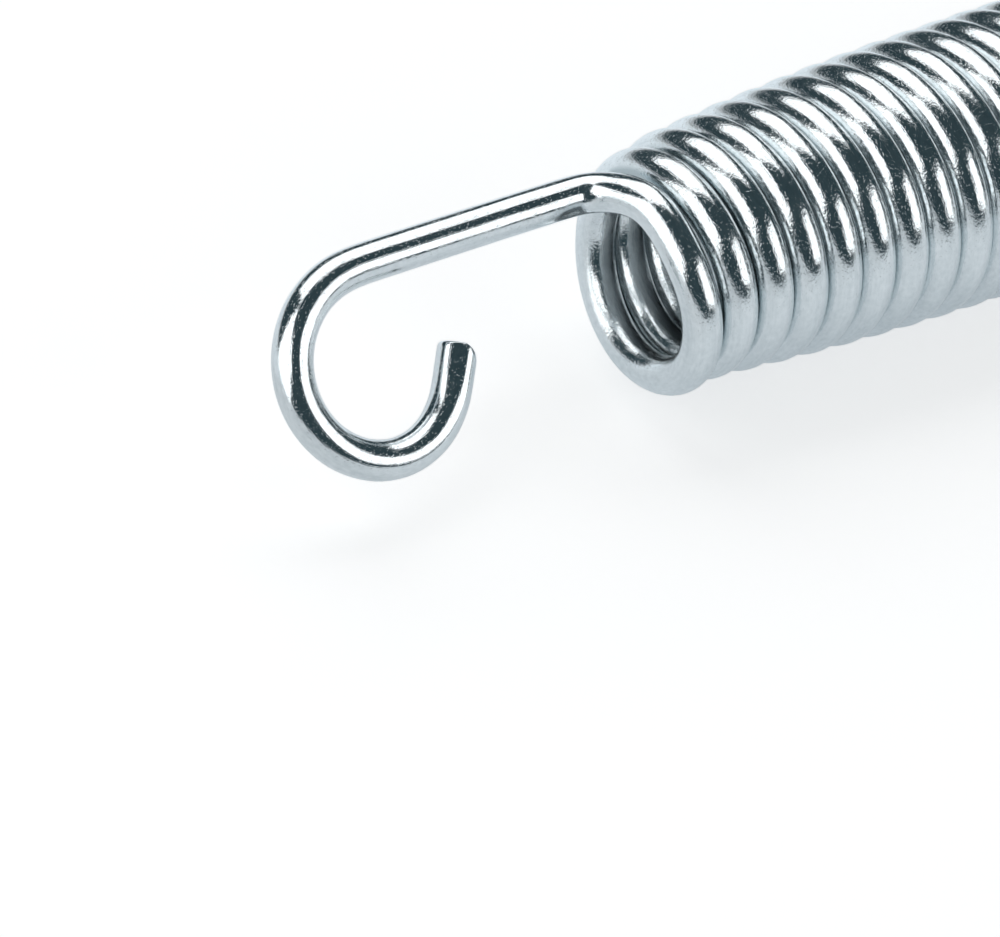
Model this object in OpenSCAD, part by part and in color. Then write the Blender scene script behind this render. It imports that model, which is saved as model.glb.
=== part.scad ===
// Extension spring: one length of round wire, close-wound, with a long hook formed at each end.
// The coil lies along X and rests on the floor. One hook bends round until its free end points
// back at its shank, and the other is left open, its free end pointing back at the coil.

/* [Wire] */
// Diameter of the wire
wire_d = 3.4; // [2.4:0.1:4.4]
// Height of the small chamfer round each cut end
cut_chamfer = 0.3; // [0.1:0.05:0.6]
// Slant of the outer half of each cut, where the shear pressed the wire before it broke
cut_slant = 18; // [0:1:30]

/* [Coil] */
// Outside diameter of the coil over its middle turns
body_od = 25.4; // [22:0.2:34]
// Number of whole turns
turns = 32; // [12:1:48]
// Clear space between neighbouring turns of the unloaded spring
turn_gap = 0.05; // [0.03:0.01:0.4]

/* [Coil ends] */
// Outside diameter of the end ring that carries each hook
end_od = 20.2; // [17:0.1:21.5]
// Number of turns over which each end widens to the full diameter
taper_turns = 15; // [3:1:20]
// Shape of the widening, where 1 is a straight cone and more widens sooner
taper_ease = 2.5; // [1:0.1:4]
// How far forming the round hook has pulled its end ring down from the coil's centre line
ring_drop = 1.5; // [0:0.1:2]

/* [Round hook] */
// Rise of the shank's centre line above the top of its end ring
round_rise = 0.9; // [0.4:0.1:2.5]
// Radius of the bend between the end ring and the shank
round_lead_r = 3.9; // [2.6:0.1:5]
// Straight length of the shank
round_shank = 21.4; // [10:0.2:40]
// Radius of the bow round the outside of the hook
round_bow_r = 8.1; // [6:0.1:11]
// Angle of the bow round the outside
round_bow_angle = 164; // [120:1:180]
// Radius of the curl that brings the free end up
round_curl_r = 6.8; // [5:0.1:9]
// Angle of the curl
round_curl_angle = 79; // [20:1:90]
// Straight length at the free end
round_tail = 4.2; // [1:0.1:6]

/* [Open hook] */
// Rise of the shank's centre line above the top of its end ring
open_rise = 2.8; // [2.5:0.1:4]
// Radius of the bend between the end ring and the shank
open_lead_r = 8.2; // [4:0.1:9]
// How far the hook's plane stands past the coil's centre line
open_offset = 1.8; // [0:0.1:3]
// Straight length of the shank
open_shank = 13.2; // [8:0.2:30]
// Radius of the bow round the outside of the hook
open_bow_r = 9.2; // [7:0.1:11]
// Angle of the bow round the outside
open_bow_angle = 133; // [100:1:150]
// Radius of the curl behind the bow
open_curl_r = 7.1; // [5:0.1:9]
// Angle of the curl
open_curl_angle = 24; // [5:1:40]
// Straight length at the free end
open_tail = 7.0; // [2:0.1:8]

/* [Rest] */
// Angle by which the spring has rolled on its coil, its hooks leaning back
rest_roll = 44; // [0:1:90]

/* [Hidden] */
bow_fn = 96;
wire_fn = 48;
joint_gap = 0.005;
core_reach = 0.4;
core_depth = 0.15;

body_r = (body_od - wire_d) / 2;
end_r = (end_od - wire_d) / 2;
// The pitch leaves turn_gap square to the wire, where the end ring leans most
turn_step = wire_d + turn_gap;
ring_slope = turn_step / (4 * end_r);
pitch = turn_step / sqrt(1 - pow(ring_slope, 2));
coil_length = turns * pitch;

// Share of the taper that is left a number of turns in from an end
function taper(n) = pow(max(0, 1 - n / taper_turns), taper_ease);
// Radius of the coil's centre line a number of turns in from the round hook
function turn_r(n) = body_r - (body_r - end_r) * max(taper(n), taper(turns - n));
// The end ring's sag, which is gone within two turns
function sag(n) = ring_drop * pow(max(0, 1 - n / 2), 2);

// The wire's centre line passes the top of the coil at each whole turn and its underside half a
// turn on. There it runs square to the coil, so half circles between these points join without a
// kink. A sagging turn moves outwards a little, or it would touch the next one on its leaning side.
function rim(n) =
    [pitch * n - ring_slope * sag(n), 0, ((2 * n) % 2 == 0 ? 1 : -1) * turn_r(n) - sag(n)];

// One half circle: its centre, its radius and the lean of its plane
function half_centre(n) = (rim(n) + rim(n + 0.5)) / 2;
function half_r(n) = norm(rim(n) - rim(n + 0.5)) / 2;
function half_lean(n) = asin((rim(n + 0.5)[0] - rim(n)[0]) / 2 / half_r(n));

// Each hook leaves its end ring short of the top and runs straight on, over the top, until it has
// risen by the set amount in the hook's own plane. Both hooks are worked out as if at the left
// end, with the coil on their right.
function lift(rise, r, offset) = acos(r / norm([r + rise, offset])) - atan(offset / (r + rise));
round_ring_r = half_r(0);
open_ring_r = half_r(turns - 0.5);
round_lean = half_lean(0);
open_lean = half_lean(turns - 0.5);
round_lift = lift(round_rise, round_ring_r, 0);
open_lift = lift(open_rise, open_ring_r, open_offset);
round_centre = half_centre(0);
open_centre = [pitch / 4, 0, half_centre(turns - 0.5)[2]];

// The wire's way on where it leaves the ring, and how far it runs to its corner with the shank
function way(lean, lift) = [-sin(lean) * sin(lift), cos(lift), cos(lean) * sin(lift)];
function run(r, lift, offset) = (offset + r * sin(lift)) / cos(lift);
function leave_point(centre, r, lean, lift) =
    centre + r * [-sin(lean) * cos(lift), -sin(lift), cos(lean) * cos(lift)];

// The lead bend turns from that way to the shank's. Its radius is limited by the run.
shank_way = [-1, 0, 0];
function lead_angle(lean, lift) = acos(way(lean, lift) * shank_way);
function lead_tangent(r, lean, lift, offset, lead_r) =
    min(lead_r * tan(lead_angle(lean, lift) / 2), run(r, lift, offset));
function shank_start(centre, r, lean, lift, offset, lead_r) =
    leave_point(centre, r, lean, lift) + run(r, lift, offset) * way(lean, lift)
    + lead_tangent(r, lean, lift, offset, lead_r) * shank_way;

round_start = shank_start(round_centre, round_ring_r, round_lean, round_lift, 0, round_lead_r);
open_start = shank_start(open_centre, open_ring_r, open_lean, open_lift, open_offset, open_lead_r);
round_reach = round_shank + round_bow_r + wire_d / 2 - round_start[0];
open_reach = open_shank + open_bow_r + wire_d / 2 - open_start[0];

module wire_section() {
    circle(d = wire_d, $fn = wire_fn);
}

// The wire is made of arcs and straights that each stop a hundredth of a millimetre short of the
// next, and a core inside the wire carries it over the joint.
module core() {
    cylinder(d = wire_d - 2 * core_depth, h = 2 * core_reach, center = true, $fn = wire_fn);
}

// Wire bent to a circle of radius r about the origin, from start to start + angle
module arc_of_wire(r, angle, start = 0) {
    short = joint_gap / r * 180 / PI;
    rotate_extrude(angle = angle - 2 * short, start = start + short, $fn = bow_fn)
        translate([r, 0]) wire_section();
}

// Puts what follows at p, heading along z, with x as the side that it bends towards
module heading(p, z, x) {
    y = cross(z, x);
    multmatrix([
        [x[0], y[0], z[0], p[0]],
        [x[1], y[1], z[1], p[1]],
        [x[2], y[2], z[2], p[2]],
        [0, 0, 0, 1]
    ]) children();
}

// Straight wire, with what follows at its end
module straight(length) {
    if (length > 2 * joint_gap)
        translate([0, 0, joint_gap])
            cylinder(d = wire_d, h = length - 2 * joint_gap, $fn = wire_fn);
    translate([0, 0, length]) {
        core();
        children();
    }
}

// Wire bent towards x, with what follows at its end
module bow(r, angle) {
    translate([r, 0, 0]) rotate([90, 0, 0]) arc_of_wire(r, angle, 180 - angle);
    translate([r * (1 - cos(angle)), 0, r * sin(angle)]) rotate([0, angle, 0]) {
        core();
        children();
    }
}

// The straight free end. It is sheared, so its edge is broken all round and its outer half slants.
module free_end(length) {
    r = wire_d / 2;
    difference() {
        rotate_extrude($fn = wire_fn)
            polygon([
                [0, joint_gap],
                [r, joint_gap],
                [r, length - cut_chamfer],
                [r - cut_chamfer, length],
                [0, length]
            ]);
        if (cut_slant > 0)
            translate([0, 0, length])
                rotate([0, -cut_slant, 0])
                    translate([-wire_d, -wire_d, 0])
                        cube([wire_d, 2 * wire_d, wire_d]);
    }
}

// The turns. At each end the outermost half circle stops short of the top, where the hook leaves.
module coil() {
    for (i = [0 : 2 * turns - 1]) {
        n = i / 2;
        front_half = i % 2 == 0;
        from = i == 0 ? round_lift : 0;
        upto = i == 2 * turns - 1 ? 180 - open_lift : 180;
        translate(half_centre(n))
            rotate(front_half ? [180, -90 - half_lean(n), 0] : [0, 90 + half_lean(n), 0])
                arc_of_wire(half_r(n), upto - from, from);
        if (i > 0) translate(rim(n)) rotate([90, 0, 0]) core();
    }
}

// The wire from an end ring over the top and into the shank
module lead(centre, r, lean, lift, offset, lead_r) {
    tangent = lead_tangent(r, lean, lift, offset, lead_r);
    angle = lead_angle(lean, lift);
    ahead = way(lean, lift);
    aside = (shank_way - cos(angle) * ahead) / sin(angle);
    heading(leave_point(centre, r, lean, lift), ahead, aside) {
        core();
        straight(run(r, lift, offset) - tangent)
            bow(tangent / tan(angle / 2), angle);
    }
}

module round_hook() {
    lead(round_centre, round_ring_r, round_lean, round_lift, 0, round_lead_r);
    heading(round_start, shank_way, [0, 0, -1])
        straight(round_shank)
            bow(round_bow_r, round_bow_angle)
                bow(round_curl_r, round_curl_angle)
                    free_end(round_tail);
}

module open_hook() {
    lead(open_centre, open_ring_r, open_lean, open_lift, open_offset, open_lead_r);
    heading(open_start, shank_way, [0, 0, -1])
        straight(open_shank)
            bow(open_bow_r, open_bow_angle)
                bow(open_curl_r, open_curl_angle)
                    free_end(open_tail);
}

// The whole spring, lying on its coil with its length centred on the origin
module spring_wire() {
    color("lightsteelblue")
        translate([0, 0, body_od / 2])
            rotate([-rest_roll, 0, 0])
                translate([(round_reach - open_reach - coil_length) / 2, 0, 0]) {
                    coil();
                    round_hook();
                    translate([coil_length, 0, 0]) rotate([0, 0, 180]) open_hook();
                }
}

spring_wire();
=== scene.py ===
"""Extension spring of bright zinc-plated wire, dressed and lit for its studio picture.

The wire's centre line follows the same sizes as the solid. A Geometry Nodes tree sweeps the round
wire along it and shapes the two sheared ends, and the zinc finish follows the wire as it was drawn.
Sizes of the spring are in millimetres, and everything that is handed to Blender is in metres.
"""

import logging
from bisect import bisect_left, bisect_right
from dataclasses import dataclass, field
from enum import Enum
from itertools import accumulate
from math import acos, asin, atan, ceil, cos, exp, hypot, pi, radians, sin, sqrt, tan

import bpy
from mathutils import Matrix, Vector


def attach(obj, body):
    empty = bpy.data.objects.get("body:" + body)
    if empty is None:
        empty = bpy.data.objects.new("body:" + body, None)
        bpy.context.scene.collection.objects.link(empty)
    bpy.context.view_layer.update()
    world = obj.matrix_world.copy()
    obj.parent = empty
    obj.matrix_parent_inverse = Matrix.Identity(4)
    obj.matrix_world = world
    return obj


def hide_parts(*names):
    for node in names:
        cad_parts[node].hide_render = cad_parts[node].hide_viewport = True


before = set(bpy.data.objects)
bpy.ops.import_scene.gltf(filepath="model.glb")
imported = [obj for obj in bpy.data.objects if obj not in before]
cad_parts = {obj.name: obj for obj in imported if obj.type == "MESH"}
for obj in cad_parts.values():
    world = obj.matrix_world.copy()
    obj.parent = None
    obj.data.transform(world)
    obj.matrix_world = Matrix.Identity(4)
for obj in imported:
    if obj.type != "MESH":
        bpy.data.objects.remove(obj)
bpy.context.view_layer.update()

MM = 0.001
LOG = logging.getLogger("extension_spring")


class End(Enum):
    """The two ends of the spring."""

    ROUND = "round_hook"
    OPEN = "open_hook"


@dataclass(frozen=True)
class HookSizes:
    """Sizes of one hook, in millimetres and degrees.

    Args:
        rise: rise of the shank above the top of its end ring.
        lead_r: radius of the bend between the end ring and the shank.
        offset: how far the hook's plane stands past the coil's centre line.
        shank: straight length of the shank.
        bow_r: radius of the bow round the outside.
        bow_angle: angle of the bow.
        curl_r: radius of the curl behind the bow.
        curl_angle: angle of the curl.
        tail: straight length at the free end.
    """

    rise: float
    lead_r: float
    offset: float
    shank: float
    bow_r: float
    bow_angle: float
    curl_r: float
    curl_angle: float
    tail: float


@dataclass(frozen=True)
class SpringSizes:
    """Sizes of the whole spring, in millimetres and degrees, as in the solid."""

    wire_d: float = 3.4
    cut_slant: float = 18.0
    body_od: float = 25.4
    turns: int = 32
    turn_gap: float = 0.05
    end_od: float = 20.2
    taper_turns: float = 15.0
    taper_ease: float = 2.5
    ring_drop: float = 1.5
    rest_roll: float = 44.0
    round_hook: HookSizes = HookSizes(0.9, 3.9, 0.0, 21.4, 8.1, 164.0, 6.8, 79.0, 4.2)
    open_hook: HookSizes = HookSizes(2.8, 8.2, 1.8, 13.2, 9.2, 133.0, 7.1, 24.0, 7.0)

    @property
    def body_r(self) -> float:
        """Radius of the middle turns' centre line."""
        return (self.body_od - self.wire_d) / 2

    @property
    def end_r(self) -> float:
        """Radius of the end rings' centre line."""
        return (self.end_od - self.wire_d) / 2

    @property
    def ring_slope(self) -> float:
        """Sine of the lean of an end ring."""
        return (self.wire_d + self.turn_gap) / (4 * self.end_r)

    @property
    def pitch(self) -> float:
        """Advance of one turn along the coil."""
        return (self.wire_d + self.turn_gap) / sqrt(1 - self.ring_slope**2)

    @property
    def coil_length(self) -> float:
        """Length of the coil between the tops of its end rings."""
        return self.turns * self.pitch


@dataclass(frozen=True)
class Bend:
    """Wire bent to a circle.

    Args:
        centre: centre of the circle.
        radius: its radius.
        out: unit vector from the centre to the start of the bend.
        ahead: unit vector along the wire at the start.
        angle: angle of the bend, in radians.
    """

    centre: Vector
    radius: float
    out: Vector
    ahead: Vector
    angle: float

    @property
    def length(self) -> float:
        """Length along the wire."""
        return self.radius * self.angle

    def at(self, share: float) -> Vector:
        """Point at a share of the way along."""
        turn = self.angle * share
        return self.centre + self.radius * (cos(turn) * self.out + sin(turn) * self.ahead)

    def way(self, share: float) -> Vector:
        """Unit vector along the wire at a share of the way along."""
        turn = self.angle * share
        return cos(turn) * self.ahead - sin(turn) * self.out


@dataclass(frozen=True)
class Straight:
    """Straight wire from start along ahead."""

    start: Vector
    ahead: Vector
    length: float

    def at(self, share: float) -> Vector:
        """Point at a share of the way along."""
        return self.start + self.ahead * (self.length * share)

    def way(self, share: float) -> Vector:
        """Unit vector along the wire, the same everywhere."""
        return self.ahead


@dataclass(frozen=True)
class Push:
    """A place near the round hook's lead bend where forming it has pushed the wire aside.

    Args:
        place: distance from the bend's middle towards the coil, in millimetres.
        shift: how far the wire lies aside there, in the coil's own frame, in millimetres.
    """

    place: float
    shift: tuple[float, float, float]


LEAD_PUSHES = (
    Push(-5.0, (0.0, -0.35, 0.0)),
    Push(1.7, (-0.35, -0.40, 0.30)),
    Push(5.0, (0.20, -0.20, 0.45)),
)
PUSH_SPREAD = 2.4


@dataclass
class CentreLine:
    """The wire's centre line, worked out as for the solid.

    Args:
        sizes: sizes of the spring.
        step: greatest spacing of its points, in millimetres.
        turn: greatest turn from one point to the next, in radians.
        ease: length over which a bend on a hook begins or ends, in millimetres.
    """

    sizes: SpringSizes
    step: float = 0.7
    turn: float = radians(3.7)
    ease: float = 1.3

    def turn_r(self, n: float) -> float:
        """Radius of the centre line n turns in from the round hook."""
        s = self.sizes
        left = max(1 - min(n, s.turns - n) / s.taper_turns, 0.0)
        return s.body_r - (s.body_r - s.end_r) * left**s.taper_ease

    def rim(self, n: float) -> Vector:
        """Point where the centre line passes the top or the underside of the coil, n turns in."""
        s = self.sizes
        sag = s.ring_drop * max(0.0, 1 - n / 2) ** 2
        side = 1 if (2 * n) % 2 == 0 else -1
        return Vector((s.pitch * n - s.ring_slope * sag, 0, side * self.turn_r(n) - sag))

    def half(self, n: float) -> tuple[Vector, float, float]:
        """Centre, radius and lean of the half circle that starts n turns in."""
        a, b = self.rim(n), self.rim(n + 0.5)
        radius = (a - b).length / 2
        return (a + b) / 2, radius, asin((b.x - a.x) / 2 / radius)

    def hook(self, sizes: HookSizes, centre: Vector, r: float, lean: float) -> tuple[float, list]:
        """One hook, from its end ring outwards, as if at the left end of the coil.

        Args:
            sizes: the hook's sizes.
            centre: centre of its end ring.
            r: radius of that ring.
            lean: lean of that ring, in radians.

        Returns:
            The angle short of the top at which it leaves the ring, and its bends and straights.
        """
        drop = acos(r / hypot(r + sizes.rise, sizes.offset)) - atan(sizes.offset / (r + sizes.rise))
        way = Vector((-sin(lean) * sin(drop), cos(drop), cos(lean) * sin(drop)))
        out = Vector((-sin(lean) * cos(drop), -sin(drop), cos(lean) * cos(drop)))
        leave = centre + r * out
        run = (sizes.offset + r * sin(drop)) / cos(drop)
        outwards = Vector((-1, 0, 0))
        angle = acos(way.dot(outwards))
        tangent = min(sizes.lead_r * tan(angle / 2), run)
        radius = tangent / tan(angle / 2)
        aside = (outwards - cos(angle) * way) / sin(angle)
        corner = leave + run * way
        bend_start = leave + (run - tangent) * way
        parts = [
            Straight(leave, way, run - tangent),
            Bend(bend_start + radius * aside, radius, -aside, way, angle),
            Straight(corner + tangent * outwards, outwards, sizes.shank),
        ]
        for radius, angle in (
            (sizes.bow_r, sizes.bow_angle),
            (sizes.curl_r, sizes.curl_angle),
        ):
            ahead = parts[-1].way(1)
            inwards = Vector((ahead.z, 0, -ahead.x)) * -1
            parts.append(
                Bend(parts[-1].at(1) + radius * inwards, radius, -inwards, ahead, radians(angle))
            )
        parts.append(Straight(parts[-1].at(1), parts[-1].way(1), sizes.tail))
        return drop, parts

    def hooks(self) -> dict[End, tuple[float, list]]:
        """Both hooks, each as if at the left end of the coil, with its lift in radians."""
        s = self.sizes
        n = s.turns - 0.5
        centre, radius, lean = self.half(n)
        centre = Vector((s.pitch / 4, 0, centre.z))
        return {
            End.ROUND: self.hook(s.round_hook, *self.half(0)),
            End.OPEN: self.hook(s.open_hook, centre, radius, lean),
        }

    def coil(self, lifts: dict[End, float]) -> list[Bend]:
        """The half circles of the coil from the round hook's end to the open hook's.

        Args:
            lifts: angle short of the top at which each hook leaves its end ring.

        Returns:
            One bend for each half turn.
        """
        halves = []
        last = 2 * self.sizes.turns - 1
        for i in range(last + 1):
            centre, radius, lean = self.half(i / 2)
            side = 1 if i % 2 == 0 else -1
            top = Vector((-sin(lean), 0, side * cos(lean)))
            across = Vector((0, -side, 0))
            begin = lifts[End.ROUND] if i == 0 else 0.0
            end = pi - (lifts[End.OPEN] if i == last else 0.0)
            out = cos(begin) * top + sin(begin) * across
            ahead = cos(begin) * across - sin(begin) * top
            halves.append(Bend(centre, radius, out, ahead, end - begin))
        return halves

    def placed(self) -> Matrix:
        """Transform from the coil's own frame to the shared frame, in metres."""
        s = self.sizes
        reach = {}
        for end, (_, parts) in self.hooks().items():
            sizes = s.round_hook if end is End.ROUND else s.open_hook
            shank_start = parts[2].start.x
            reach[end] = sizes.shank + sizes.bow_r + s.wire_d / 2 - shank_start
        middle = (reach[End.ROUND] - reach[End.OPEN] - s.coil_length) / 2
        return (
            Matrix.Scale(MM, 4)
            @ Matrix.Translation((0, 0, s.body_od / 2))
            @ Matrix.Rotation(-radians(s.rest_roll), 4, "X")
            @ Matrix.Translation((middle, 0, 0))
        )

    def points(self) -> tuple[list[Vector], list[float]]:
        """The centre line's points from the round hook's cut end to the open hook's.

        Returns:
            Points in the shared frame, in metres, evenly spaced along each bend and straight, and
            for each the number of turns passed, which is below 0 on the round hook.
        """
        hooks = self.hooks()
        lifts = {end: lift for end, (lift, _) in hooks.items()}
        turned = Matrix.Translation((self.sizes.coil_length, 0, 0)) @ Matrix.Rotation(pi, 4, "Z")
        first = self.spaced(hooks[End.ROUND][1])[::-1]
        coil = self.spaced(self.coil(lifts))[1:-1]
        last = [turned @ p for p in self.spaced(hooks[End.OPEN][1])]
        turns = [-1.0] * len(first)
        turns += [self.sizes.turns * (i + 0.5) / len(coil) for i in range(len(coil))]
        turns += [self.sizes.turns + 1.0] * len(last)
        line = self.pushed(self.eased(first + coil + last, turns), self.lead_middle(hooks))
        placed = self.placed()
        return [placed @ p for p in line], turns

    def lead_middle(self, hooks: dict[End, tuple[float, list]]) -> float:
        """Length of wire from the round hook's cut end to the middle of its lead bend."""
        _, lead_bend, *others = hooks[End.ROUND][1]
        return sum(part.length for part in others) + lead_bend.length / 2

    def pushed(self, line: list[Vector], middle: float) -> list[Vector]:
        """Sets the wire aside near the round hook's lead bend, as forming has left it.

        Args:
            line: points of the centre line.
            middle: length of wire from the line's start to the bend's middle.

        Returns:
            The points, those near the bend moved by up to half a millimetre.
        """
        steps = [(b - a).length for a, b in zip(line, line[1:])]
        moved = []
        for point, run in zip(line, accumulate(steps, initial=-middle)):
            shares = [exp(-(((run - p.place) / PUSH_SPREAD) ** 2) / 2) for p in LEAD_PUSHES]
            shifts = [w * Vector(p.shift) for w, p in zip(shares, LEAD_PUSHES)]
            moved.append(point + sum(shifts, Vector()))
        return moved

    def eased(self, line: list[Vector], turns: list[float]) -> list[Vector]:
        """Lets the hooks' bends begin and end gradually, as bent wire does.

        Args:
            line: points of the centre line.
            turns: number of turns passed at each point.

        Returns:
            The points, those on the hooks moved by a small part of a millimetre.
        """
        steps = [(b - a).length for a, b in zip(line, line[1:])]
        runs = [0.0, *accumulate(steps)]
        whole, last = runs[-1], self.sizes.turns
        moved = []
        for i, point in enumerate(line):
            coil_share = max(min(turns[i], last - turns[i]), 0.0) / 0.4
            tip_share = min(runs[i], whole - runs[i]) / 4.0
            strength = max(1 - coil_share, 0.0) * max(min(tip_share - 0.5, 1.0), 0.0)
            if strength == 0:
                moved.append(point)
                continue
            mean, total = Vector(), 0.0
            low = bisect_left(runs, runs[i] - 3 * self.ease)
            high = bisect_right(runs, runs[i] + 3 * self.ease)
            for k in range(max(low, 1), min(high, len(line) - 1)):
                weight = exp(-(((runs[k] - runs[i]) / self.ease) ** 2) / 2)
                weight *= runs[k + 1] - runs[k - 1]
                mean += weight * line[k]
                total += weight
            moved.append(point.lerp(mean / total, strength))
        return moved

    def spaced(self, parts: list) -> list[Vector]:
        """Points along joined bends and straights, each part evenly divided."""
        line = [parts[0].at(0)]
        for part in parts:
            if part.length < 0.05 * self.step:
                continue
            turn = part.way(0).angle(part.way(0.5)) * 2
            steps = max(1, ceil(part.length / self.step), ceil(turn / self.turn))
            line += [part.at(i / steps) for i in range(1, steps + 1)]
        return line


class Tree:
    """A node tree under construction, with short calls for nodes, values and links."""

    def __init__(self, nodes: bpy.types.NodeTree) -> None:
        """Starts from an empty tree."""
        self.tree = nodes
        nodes.nodes.clear()

    def add(self, kind: str, **settings: object) -> bpy.types.Node:
        """Adds a node and sets its properties.

        Args:
            kind: the node's type name.
            settings: properties of the node.

        Returns:
            The node.
        """
        node = self.tree.nodes.new(kind)
        for name, value in settings.items():
            setattr(node, name, value)
        return node

    def feed(self, socket: bpy.types.NodeSocket, value: object) -> None:
        """Links a socket to another, or sets its value where it is given a constant."""
        if isinstance(value, bpy.types.NodeSocket):
            self.tree.links.new(value, socket)
        else:
            socket.default_value = value

    def made(self, kind: str, inputs: dict, output: object = 0, **settings: object) -> bpy.types.NodeSocket:
        """Adds a node, feeds its inputs and returns one output.

        Args:
            kind: the node's type name.
            inputs: socket names or numbers with a value or another socket for each.
            output: name or number of the output socket.
            settings: properties of the node.

        Returns:
            The output socket.
        """
        node = self.add(kind, **settings)
        for name, value in inputs.items():
            self.feed(node.inputs[name], value)
        return node.outputs[output]


class WireSweep(Tree):
    """Geometry Nodes that sweep round wire along a line of points and shape its two cut ends."""

    INPUTS = (
        ("Wire Diameter", "NodeSocketFloat"),
        ("Sides", "NodeSocketInt"),
        ("Cut Slope", "NodeSocketFloat"),
        ("Roll Over", "NodeSocketFloat"),
        ("Pressed Length", "NodeSocketFloat"),
        ("First Outer Side", "NodeSocketVector"),
        ("First Way Out", "NodeSocketVector"),
        ("Last Outer Side", "NodeSocketVector"),
        ("Last Way Out", "NodeSocketVector"),
        ("Flat Side", "NodeSocketVector"),
        ("Flat Height", "NodeSocketFloat"),
        ("Flat Length", "NodeSocketFloat"),
        ("Finish", "NodeSocketMaterial"),
    )

    def __init__(self) -> None:
        """Builds the tree."""
        super().__init__(bpy.data.node_groups.new("wire_sweep", "GeometryNodeTree"))
        face = self.tree.interface
        face.new_socket("Centre Line", in_out="INPUT", socket_type="NodeSocketGeometry")
        for name, kind in self.INPUTS:
            face.new_socket(name, in_out="INPUT", socket_type=kind)
        face.new_socket("Wire", in_out="OUTPUT", socket_type="NodeSocketGeometry")
        given = self.add("NodeGroupInput").outputs
        curve = self.measured(given["Centre Line"])
        swept = self.swept(curve, given)
        flat = self.jaw_flat(swept, given)
        cut = self.pressed_ends(flat, given)
        named = self.drawn_coordinates(self.seams(cut, given))
        smooth = self.made("GeometryNodeSetShadeSmooth", {0: named})
        real = self.made("GeometryNodeRealizeInstances", {0: smooth})
        finished = self.made("GeometryNodeSetMaterial", {"Geometry": real, "Material": given["Finish"]})
        self.feed(self.add("NodeGroupOutput").inputs[0], finished)

    def stored(self, shape: bpy.types.NodeSocket, name: str, kind: str, value: bpy.types.NodeSocket) -> bpy.types.NodeSocket:
        """Keeps a value on a shape's points under a name."""
        return self.made(
            "GeometryNodeStoreNamedAttribute",
            {"Geometry": shape, "Name": name, "Value": value},
            data_type=kind,
            domain="POINT",
        )

    def named(self, name: str, kind: str) -> bpy.types.NodeSocket:
        """Reads a value kept under a name."""
        return self.made("GeometryNodeInputNamedAttribute", {"Name": name}, data_type=kind)

    def measured(self, line: bpy.types.NodeSocket) -> bpy.types.NodeSocket:
        """Turns the line of points to a curve that knows its run, its ends and its own place."""
        curve = self.made("GeometryNodeMeshToCurve", {"Mesh": line})
        run = self.made("GeometryNodeSplineParameter", {}, "Length")
        whole = self.made("GeometryNodeSplineLength", {}, "Length")
        left = self.made("ShaderNodeMath", {0: whole, 1: run}, operation="SUBTRACT")
        curve = self.stored(curve, "run", "FLOAT", run)
        curve = self.stored(curve, "left", "FLOAT", left)
        place = self.made("GeometryNodeInputPosition", {})
        return self.stored(curve, "core", "FLOAT_VECTOR", place)

    def swept(self, curve: bpy.types.NodeSocket, given: bpy.types.NodeOutputs) -> bpy.types.NodeSocket:
        """Sweeps the round section along the curve and closes its ends."""
        radius = self.made("ShaderNodeMath", {0: given["Wire Diameter"], 1: 0.5}, operation="MULTIPLY")
        section = self.made(
            "GeometryNodeCurvePrimitiveCircle", {"Resolution": given["Sides"], "Radius": radius}
        )
        place = self.made("GeometryNodeInputPosition", {})
        section = self.stored(section, "rim", "FLOAT_VECTOR", place)
        return self.made(
            "GeometryNodeCurveToMesh",
            {
                "Curve": curve,
                "Profile Curve": section,
                "Scale": self.named("thickness", "FLOAT"),
                "Fill Caps": True,
            },
        )

    def jaw_flat(self, wire: bpy.types.NodeSocket, given: bpy.types.NodeOutputs) -> bpy.types.NodeSocket:
        """Flattens one side of the first free end, where the jaw of the forming tool held it."""
        place = self.made("GeometryNodeInputPosition", {})
        from_core = self.made(
            "ShaderNodeVectorMath", {0: place, 1: self.named("core", "FLOAT_VECTOR")}, operation="SUBTRACT"
        )
        height = self.made(
            "ShaderNodeVectorMath", {0: from_core, 1: given["Flat Side"]}, "Value", operation="DOT_PRODUCT"
        )
        excess = self.made("ShaderNodeMath", {0: height, 1: given["Flat Height"]}, operation="SUBTRACT")
        excess = self.made("ShaderNodeMath", {0: excess, 1: 0.0}, operation="MAXIMUM")
        near = self.made(
            "ShaderNodeMapRange",
            {
                "Value": self.named("run", "FLOAT"),
                "From Min": 0.0015,
                "From Max": given["Flat Length"],
                "To Min": -1.0,
                "To Max": 0.0,
            },
            interpolation_type="SMOOTHSTEP",
        )
        depth = self.made("ShaderNodeMath", {0: excess, 1: near}, operation="MULTIPLY")
        shift = self.made("ShaderNodeVectorMath", {0: given["Flat Side"], "Scale": depth}, operation="SCALE")
        return self.made("GeometryNodeSetPosition", {"Geometry": wire, "Offset": shift})

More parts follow.
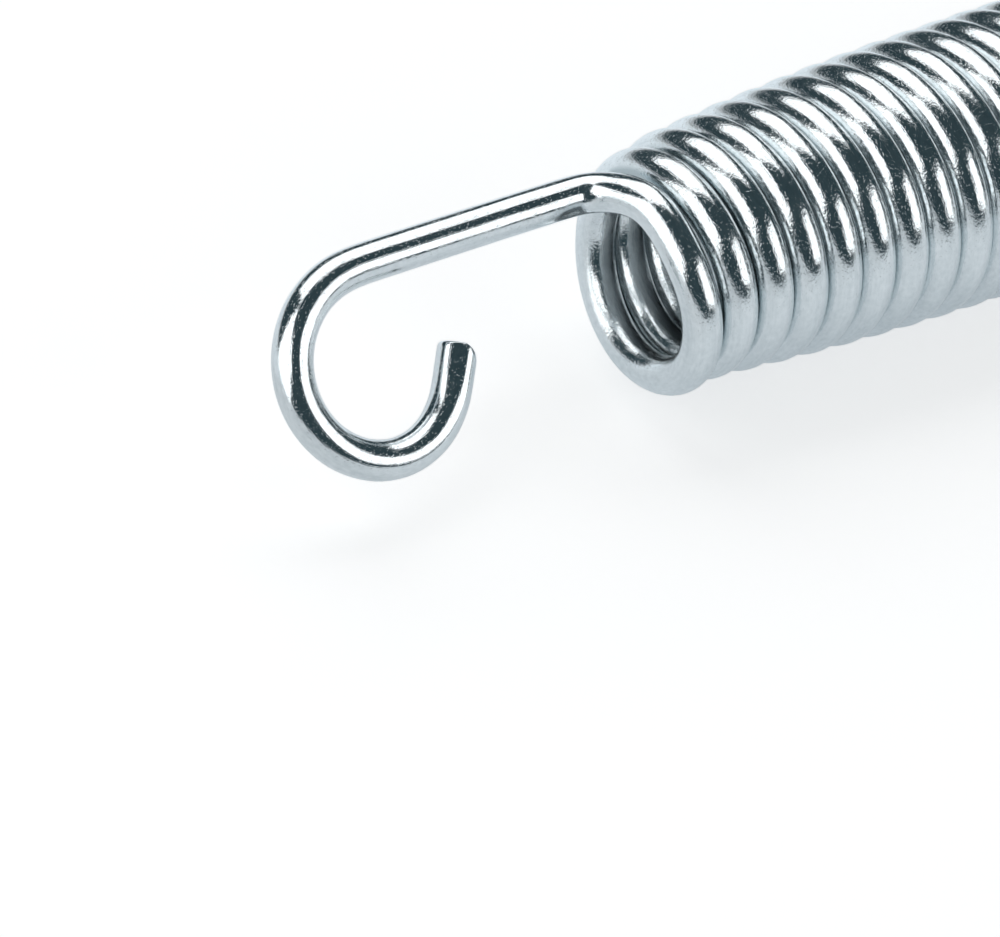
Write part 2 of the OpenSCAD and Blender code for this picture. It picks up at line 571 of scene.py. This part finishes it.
    def pressed_ends(self, wire: bpy.types.NodeSocket, given: bpy.types.NodeOutputs) -> bpy.types.NodeSocket:
        """Slants the outer half of each cut, where the shear pressed the wire before it broke."""
        place = self.made("GeometryNodeInputPosition", {})
        from_core = self.made(
            "ShaderNodeVectorMath", {0: place, 1: self.named("core", "FLOAT_VECTOR")}, operation="SUBTRACT"
        )
        for distance, side, way in (
            ("run", "First Outer Side", "First Way Out"),
            ("left", "Last Outer Side", "Last Way Out"),
        ):
            outer = self.made(
                "ShaderNodeVectorMath", {0: from_core, 1: given[side]}, "Value", operation="DOT_PRODUCT"
            )
            outer = self.made("ShaderNodeMath", {0: outer, 1: 0.0}, operation="MAXIMUM")
            near = self.made(
                "ShaderNodeMapRange",
                {
                    "Value": self.named(distance, "FLOAT"),
                    "From Min": 0.0004,
                    "From Max": given["Pressed Length"],
                    "To Min": 1.0,
                    "To Max": 0.0,
                },
                interpolation_type="SMOOTHSTEP",
            )
            slant = self.made("ShaderNodeMath", {0: outer, 1: given["Cut Slope"]}, operation="MULTIPLY")
            share = self.made("ShaderNodeMath", {0: outer, 1: given["Wire Diameter"]}, operation="DIVIDE")
            rolled = self.made("ShaderNodeMath", {0: share, 1: 3.0}, operation="POWER")
            rolled = self.made("ShaderNodeMath", {0: rolled, 1: given["Roll Over"]}, operation="MULTIPLY")
            depth = self.made("ShaderNodeMath", {0: slant, 1: rolled}, operation="ADD")
            depth = self.made("ShaderNodeMath", {0: depth, 1: near}, operation="MULTIPLY")
            depth = self.made("ShaderNodeMath", {0: depth, 1: -1.0}, operation="MULTIPLY")
            shift = self.made("ShaderNodeVectorMath", {0: given[way], "Scale": depth}, operation="SCALE")
            wire = self.made("GeometryNodeSetPosition", {"Geometry": wire, "Offset": shift})
        return wire

    def seams(self, wire: bpy.types.NodeSocket, given: bpy.types.NodeOutputs) -> bpy.types.NodeSocket:
        """Marks where one turn lies against the next, as a value from 0 to 1, for the painted shade in the seams."""
        place = self.made("GeometryNodeInputPosition", {})
        from_core = self.made(
            "ShaderNodeVectorMath", {0: place, 1: self.named("core", "FLOAT_VECTOR")}, operation="SUBTRACT"
        )
        along = self.add("ShaderNodeSeparateXYZ")
        self.feed(along.inputs[0], from_core)
        share = self.made("ShaderNodeMath", {0: along.outputs[0], 1: given["Wire Diameter"]}, operation="DIVIDE")
        # mask for the painted seam shade: the wire's sides that lie against the next turn
        painted_seam_shade = 0.0
        for mate, low, high in (("left_mate", -0.465, -0.497), ("right_mate", 0.465, 0.497)):
            close = self.made("ShaderNodeMapRange", {"Value": share, "From Min": low, "From Max": high})
            close = self.made("ShaderNodeMath", {0: close, 1: self.named(mate, "FLOAT")}, operation="MULTIPLY")
            painted_seam_shade = self.made("ShaderNodeMath", {0: close, 1: painted_seam_shade}, operation="ADD")
        return self.stored(wire, "painted_seam_shade", "FLOAT", painted_seam_shade)

    def drawn_coordinates(self, wire: bpy.types.NodeSocket) -> bpy.types.NodeSocket:
        """Keeps where each point lay in the straight wire as drawn: its place in the section and its run."""
        rim = self.add("ShaderNodeSeparateXYZ")
        self.feed(rim.inputs[0], self.named("rim", "FLOAT_VECTOR"))
        drawn = self.made("ShaderNodeCombineXYZ", {0: rim.outputs[0], 1: rim.outputs[1], 2: self.named("run", "FLOAT")})
        wire = self.stored(wire, "drawn", "FLOAT_VECTOR", drawn)
        for name in ("run", "left", "core", "rim", "thickness", "left_mate", "right_mate"):
            wire = self.made("GeometryNodeRemoveAttribute", {"Geometry": wire, "Name": name})
        return wire


@dataclass(frozen=True)
class ZincPlate:
    """Bright zinc plate on drawn steel wire: mirror bright, a little cool, with fine draw marks.

    Winding has roughened the coil a little more than the hooks, and painted shade darkens the seams
    between its turns.

    Args:
        tint: colour of the plate's reflections.
        shade: the same where the plate is duller.
        painted_seam_shade: colour of the painted shade in the seams between turns.
        roughness: lowest and highest roughness on the hooks.
        coil_roughness: how much rougher the coil is.
        waves: height of the slow unevenness that bending leaves, in metres.
        grain: height of the plate's fine grain, in metres.
        pits: depth of the fine pits, in metres.
        marks: height of the draw marks along the wire, in metres.
    """

    tint: tuple[float, float, float, float] = (0.875, 0.91, 0.925, 1.0)
    shade: tuple[float, float, float, float] = (0.71, 0.76, 0.78, 1.0)
    # painted shade: darker colour for the seams between turns, where shade falls between them
    painted_seam_shade: tuple[float, float, float, float] = (0.48, 0.54, 0.56, 1.0)
    roughness: tuple[float, float] = (0.08, 0.15)
    coil_roughness: float = 0.015
    waves: float = 0.00004
    grain: float = 0.000022
    pits: float = 0.000008
    marks: float = 0.000008

    def attribute(self, tree: Tree, name: str, output: str = "Fac") -> bpy.types.NodeSocket:
        """Reads a value that the wire's points carry."""
        return tree.made("ShaderNodeAttribute", {}, output, attribute_name=name)

    def noise(
        self, tree: Tree, across: float, along: float, detail: float = 2.0
    ) -> bpy.types.NodeSocket:
        """Noise of a given grain across and along the wire, both in metres."""
        scaled = tree.made(
            "ShaderNodeMapping",
            {
                "Vector": self.attribute(tree, "drawn", "Vector"),
                "Scale": (1 / across, 1 / across, 1 / along),
            },
        )
        return tree.made("ShaderNodeTexNoise", {"Vector": scaled, "Scale": 1.0, "Detail": detail})

    def height(self, tree: Tree) -> bpy.types.NodeSocket:
        """Height of the surface, in metres."""
        fine = self.noise(tree, 0.00016, 0.00022, 1.0)
        pitted = tree.made(
            "ShaderNodeMapRange",
            {"Value": fine, "From Min": 0.60, "From Max": 0.72, "To Max": -1.0},
            interpolation_type="SMOOTHSTEP",
        )
        total = 0.0
        for amount, on_hooks, layer in (
            (self.waves, 0.30, self.noise(tree, 0.0011, 0.0030, 1.0)),
            (self.grain, 0.30, self.noise(tree, 0.00020, 0.00030, 3.0)),
            (self.pits, 0.80, pitted),
            (self.marks, 1.00, self.noise(tree, 0.00012, 0.0090, 2.0)),
        ):
            share = tree.made(
                "ShaderNodeMapRange",
                {
                    "Value": self.attribute(tree, "coiled"),
                    "To Min": amount * on_hooks,
                    "To Max": amount,
                },
            )
            part = tree.made("ShaderNodeMath", {0: layer, 1: share}, operation="MULTIPLY")
            total = tree.made("ShaderNodeMath", {0: part, 1: total}, operation="ADD")
        return total

    def colour(self, tree: Tree, cloud: bpy.types.NodeSocket) -> bpy.types.NodeSocket:
        """Colour of the plate, duller in clouds and streaks, with painted shade in the seams between turns."""
        dull = tree.made("ShaderNodeMath", {0: cloud, 1: 0.35}, operation="MULTIPLY")
        for amount, layer in (
            (0.60, self.noise(tree, 0.00040, 0.00060, 3.0)),
            (0.30, self.noise(tree, 0.00020, 0.0200, 2.0)),
        ):
            part = tree.made("ShaderNodeMath", {0: layer, 1: amount}, operation="MULTIPLY")
            dull = tree.made("ShaderNodeMath", {0: part, 1: dull}, operation="ADD")
        dull = tree.made("ShaderNodeMapRange", {"Value": dull, "From Min": 0.42, "From Max": 0.82})
        plate = tree.made(
            "ShaderNodeMix", {0: dull, 6: self.tint, 7: self.shade}, 2, data_type="RGBA"
        )
        # painted shade: the plate darkens towards the seam colour where one turn lies against the next
        return tree.made(
            "ShaderNodeMix",
            {0: self.attribute(tree, "painted_seam_shade"), 6: plate, 7: self.painted_seam_shade},
            2,
            data_type="RGBA",
        )

    def build(self) -> bpy.types.Material:
        """Makes the material.

        Returns:
            The finished material.
        """
        material = bpy.data.materials.new("zinc_plated_steel")
        material.use_nodes = True
        tree = Tree(material.node_tree)
        cloud = self.noise(tree, 0.0015, 0.006, 3.0)
        bump = tree.made(
            "ShaderNodeBump", {"Strength": 1.0, "Distance": 1.0, "Height": self.height(tree)}
        )
        low, high = self.roughness
        rough = tree.made(
            "ShaderNodeMapRange",
            {"Value": cloud, "From Min": 0.3, "From Max": 0.7, "To Min": low, "To Max": high},
        )
        wound = tree.made(
            "ShaderNodeMath",
            {0: self.attribute(tree, "coiled"), 1: self.coil_roughness},
            operation="MULTIPLY",
        )
        rough = tree.made("ShaderNodeMath", {0: rough, 1: wound}, operation="ADD")
        shader = tree.add("ShaderNodeBsdfPrincipled")
        shader.inputs["Metallic"].default_value = 1.0
        tree.feed(shader.inputs["Base Color"], self.colour(tree, cloud))
        tree.feed(shader.inputs["Roughness"], rough)
        tree.feed(shader.inputs["Normal"], bump)
        tree.feed(tree.add("ShaderNodeOutputMaterial").inputs["Surface"], shader.outputs[0])
        return material


@dataclass
class SpringWire:
    """The one piece of wire, from cut end to cut end.

    Args:
        sizes: sizes of the spring.
        finish: its finish.
        plate: thickness of the zinc plate, in millimetres.
        sides: flats round the wire's section.
    """

    sizes: SpringSizes
    finish: ZincPlate
    plate: float = 0.021
    sides: int = 28

    CUT_PROFILE = (
        (-0.55, 1.0),
        (-0.42, 0.992),
        (-0.30, 0.972),
        (-0.20, 0.940),
        (-0.12, 0.895),
        (-0.05, 0.830),
        (-0.01, 0.760),
        (0.0, 0.690),
        (0.005, 0.45),
        (0.007, 0.22),
        (0.008, 0.02),
    )

    def cut_end(self, tip: Vector, way: Vector) -> list[tuple[Vector, float]]:
        """Points and thickness shares that round the edge of a cut end and close its face.

        Args:
            tip: middle of the cut face.
            way: unit vector along the wire, out of the end.

        Returns:
            Pairs of point and thickness share, going out.
        """
        depth = self.CUT_PROFILE[-1][0]
        return [(tip + way * ((s - depth) * MM), share) for s, share in self.CUT_PROFILE]

    def build(self) -> bpy.types.Object:
        """Makes the wire.

        Returns:
            The finished piece, a plain mesh in the shared frame.
        """
        line, turns = CentreLine(self.sizes).points()
        first_way = (line[0] - line[1]).normalized()
        last_way = (line[-1] - line[-2]).normalized()
        start = self.cut_end(line[0], first_way)[::-1]
        finish = self.cut_end(line[-1], last_way)
        body = [(p, 1.0) for p in line[1:-1]]
        rings = start + body + finish
        path = bpy.data.meshes.new("centre_line")
        path.from_pydata([p for p, _ in rings], [(i, i + 1) for i in range(len(rings) - 1)], [])
        extra = len(start) - 1
        turns = turns[:1] * extra + turns + turns[-1:] * extra
        last = self.sizes.turns
        for name, values in (
            ("thickness", [share for _, share in rings]),
            ("coiled", [min(max(min(n, last - n) + 0.5, 0.0), 1.0) for n in turns]),
            ("left_mate", [float(0.9 < n < last) for n in turns]),
            ("right_mate", [float(0 < n < last - 0.9) for n in turns]),
        ):
            path.attributes.new(name, "FLOAT", "POINT").data.foreach_set("value", values)
        holder = bpy.data.objects.new("centre_line", path)
        bpy.context.scene.collection.objects.link(holder)
        sweep = WireSweep()
        modifier = holder.modifiers.new("Wire Sweep", "NODES")
        modifier.node_group = sweep.tree
        across = Matrix.Rotation(-radians(self.sizes.rest_roll), 3, "X") @ Vector((0, 1, 0))
        flat_side = Vector((-0.3545, -0.5235, 0.775))
        flat_side = (flat_side - first_way * flat_side.dot(first_way)).normalized()
        values = {
            "Wire Diameter": (self.sizes.wire_d + 2 * self.plate) * MM,
            "Sides": self.sides,
            "Cut Slope": tan(radians(self.sizes.cut_slant)),
            "Roll Over": 0.0062,
            "Pressed Length": 0.0034,
            "First Outer Side": across.cross(first_way),
            "First Way Out": first_way,
            "Last Outer Side": last_way.cross(across),
            "Last Way Out": last_way,
            "Flat Side": flat_side,
            "Flat Height": 0.86 * self.sizes.wire_d / 2 * MM,
            "Flat Length": 0.0065,
            "Finish": self.finish.build(),
        }
        for socket in sweep.tree.interface.items_tree:
            if socket.item_type == "SOCKET" and socket.name in values:
                modifier[socket.identifier] = values[socket.name]
        depsgraph = bpy.context.evaluated_depsgraph_get()
        mesh = bpy.data.meshes.new_from_object(holder.evaluated_get(depsgraph))
        mesh.name = "zinc_wire"
        piece = bpy.data.objects.new("zinc_wire", mesh)
        bpy.context.scene.collection.objects.link(piece)
        bpy.data.objects.remove(holder)
        return piece


@dataclass(frozen=True)
class Softbox:
    """A lamp with a plain rectangular face.

    Args:
        name: its name.
        azimuth: direction from the spring, in degrees from +Y towards +X.
        elevation: height above the floor, in degrees.
        across: unit vector along its width.
        size: its width and height, in metres.
        radiance: brightness of its face, where 1 is white.
        distance: its distance, in metres.
    """

    name: str
    direction: tuple[float, float, float]
    across: tuple[float, float, float]
    size: tuple[float, float]
    radiance: float
    distance: float = 0.8

    def build(self, target: Vector) -> bpy.types.Object:
        """Makes the lamp, aimed at target.

        Args:
            target: point that it lights.

        Returns:
            The lamp.
        """
        lamp = bpy.data.lights.new(self.name, "AREA")
        lamp.shape = "RECTANGLE"
        lamp.size, lamp.size_y = self.size
        lamp.energy = self.radiance * pi * self.size[0] * self.size[1]
        holder = bpy.data.objects.new(self.name, lamp)
        bpy.context.scene.collection.objects.link(holder)
        back = Vector(self.direction).normalized()
        wide = Vector(self.across)
        wide = (wide - back * wide.dot(back)).normalized()
        tall = back.cross(wide)
        turn = Matrix((wide, tall, back)).transposed().to_4x4()
        holder.matrix_world = Matrix.Translation(target + back * self.distance) @ turn
        holder.visible_camera = False
        return holder


@dataclass
class Studio:
    """The floor, the lamps, the room and the camera."""

    target: Vector = field(default_factory=lambda: Vector((-0.045, 0.0, 0.0127)))
    floor_size: float = 8.0
    boxes: tuple[Softbox, ...] = (
        Softbox("key_softbox", (-0.897, 0.007, 0.443), (-0.423, 0.284, -0.861), (1.0, 0.78), 1.5),
        Softbox("fill_softbox", (0.560, -0.715, 0.420), (-0.866, -0.434, 0.248), (0.70, 0.51), 1.45),
        Softbox("back_softbox", (0.169, 0.578, 0.799), (0.980, -0.186, -0.073), (1.03, 0.80), 1.4),
    )

    def floor(self) -> bpy.types.Object:
        """Makes the pale floor, which keeps the spring's shadow, and whose reflection in the metal carries painted
        shade and light by place.
        """
        half = self.floor_size / 2
        mesh = bpy.data.meshes.new("floor")
        mesh.from_pydata([(-half, -half, 0), (half, -half, 0), (half, half, 0), (-half, half, 0)], [], [(0, 1, 2, 3)])
        material = bpy.data.materials.new("pale_floor")
        material.use_nodes = True
        tree = Tree(material.node_tree)
        matt = tree.made("ShaderNodeBsdfDiffuse", {"Color": (0.63, 0.63, 0.63, 1.0)})
        rays = tree.add("ShaderNodeLightPath").outputs
        place = tree.add("ShaderNodeSeparateXYZ")
        tree.feed(place.inputs[0], tree.made("ShaderNodeTexCoord", {}, "Object"))
        # painted shade and light on the floor as the metal reflects it: darker past x = -0.11 m, darker in front of y =
        # 0.008 m and brighter behind y = 0.035 m, and dark from y = 0.20 m back
        painted_light_and_shade = 1.0
        for axis, low, high, near, far in (
            (0, -0.11, -0.05, 0.72, 1.0),
            (1, 0.008, 0.035, 0.88, 1.35),
            (1, 0.13, 0.20, 1.0, 0.2),
        ):
            part = tree.made(
                "ShaderNodeMapRange",
                {
                    "Value": place.outputs[axis],
                    "From Min": low,
                    "From Max": high,
                    "To Min": near,
                    "To Max": far,
                },
                interpolation_type="SMOOTHSTEP",
            )
            painted_light_and_shade = tree.made("ShaderNodeMath", {0: part, 1: painted_light_and_shade}, operation="MULTIPLY")
        glow = matt
        # glossy and transmission rays see the floor with this painted shade and light
        for kind, colour, strength in (
            ("Is Camera Ray", (0.61, 0.61, 0.61, 1.0), 1.0),
            ("Is Glossy Ray", (0.33, 0.37, 0.40, 1.0), painted_light_and_shade),
            ("Is Transmission Ray", (0.33, 0.37, 0.40, 1.0), painted_light_and_shade),
        ):
            strength = tree.made("ShaderNodeMath", {0: rays[kind], 1: strength}, operation="MULTIPLY")
            part = tree.made("ShaderNodeEmission", {"Color": colour, "Strength": strength})
            glow = tree.made("ShaderNodeAddShader", {0: glow, 1: part})
        tree.feed(tree.add("ShaderNodeOutputMaterial").inputs["Surface"], glow)
        mesh.materials.append(material)
        floor = bpy.data.objects.new("floor", mesh)
        bpy.context.scene.collection.objects.link(floor)
        return floor

    def room(self) -> None:
        """Makes the dim room round the set, white where the camera sees it."""
        world = bpy.data.worlds.new("room")
        world.use_nodes = True
        bpy.context.scene.world = world
        tree = Tree(world.node_tree)
        rays = tree.add("ShaderNodeLightPath").outputs
        dim = tree.made("ShaderNodeBackground", {"Color": (0.032, 0.053, 0.062, 1.0), "Strength": 1.0})
        white = tree.made("ShaderNodeBackground", {"Color": (1.0, 1.0, 1.0, 1.0), "Strength": 1.0})
        both = tree.made("ShaderNodeMixShader", {0: rays["Is Camera Ray"], 1: dim, 2: white})
        tree.feed(tree.add("ShaderNodeOutputWorld").inputs["Surface"], both)

    def camera(self) -> bpy.types.Object:
        """Makes the camera at the photograph's viewing angle."""
        data = bpy.data.cameras.new("camera")
        data.sensor_width = 36.0
        data.lens = 3.938757 * data.sensor_width
        data.clip_start = 0.01
        camera = bpy.data.objects.new("camera", data)
        bpy.context.scene.collection.objects.link(camera)
        azimuth, elevation, roll = radians(43.565), radians(44.548), radians(13.811)
        turn = (
            Matrix.Rotation(-azimuth, 4, "Z")
            @ Matrix.Rotation(pi / 2 - elevation, 4, "X")
            @ Matrix.Rotation(roll, 4, "Z")
        )
        camera.matrix_world = Matrix.Translation((-0.231273, -0.1768, 0.233039)) @ turn
        bpy.context.scene.camera = camera
        return camera

    def build(self) -> None:
        """Makes the whole set."""
        self.camera()
        self.floor()
        self.room()
        for box in self.boxes:
            box.build(self.target)
            LOG.info("lamp %s", box.name)
        bpy.context.scene.view_settings.view_transform = "Standard"


def main() -> None:
    """Builds the set and the spring."""
    logging.basicConfig(level=logging.INFO, format="%(name)s: %(message)s")
    Studio().build()
    wire = SpringWire(SpringSizes(), ZincPlate()).build()
    LOG.info("%s: %d faces", wire.name, len(wire.data.polygons))
    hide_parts("spring_wire")
    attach(wire, "root")


if __name__ == "__main__":
    main()
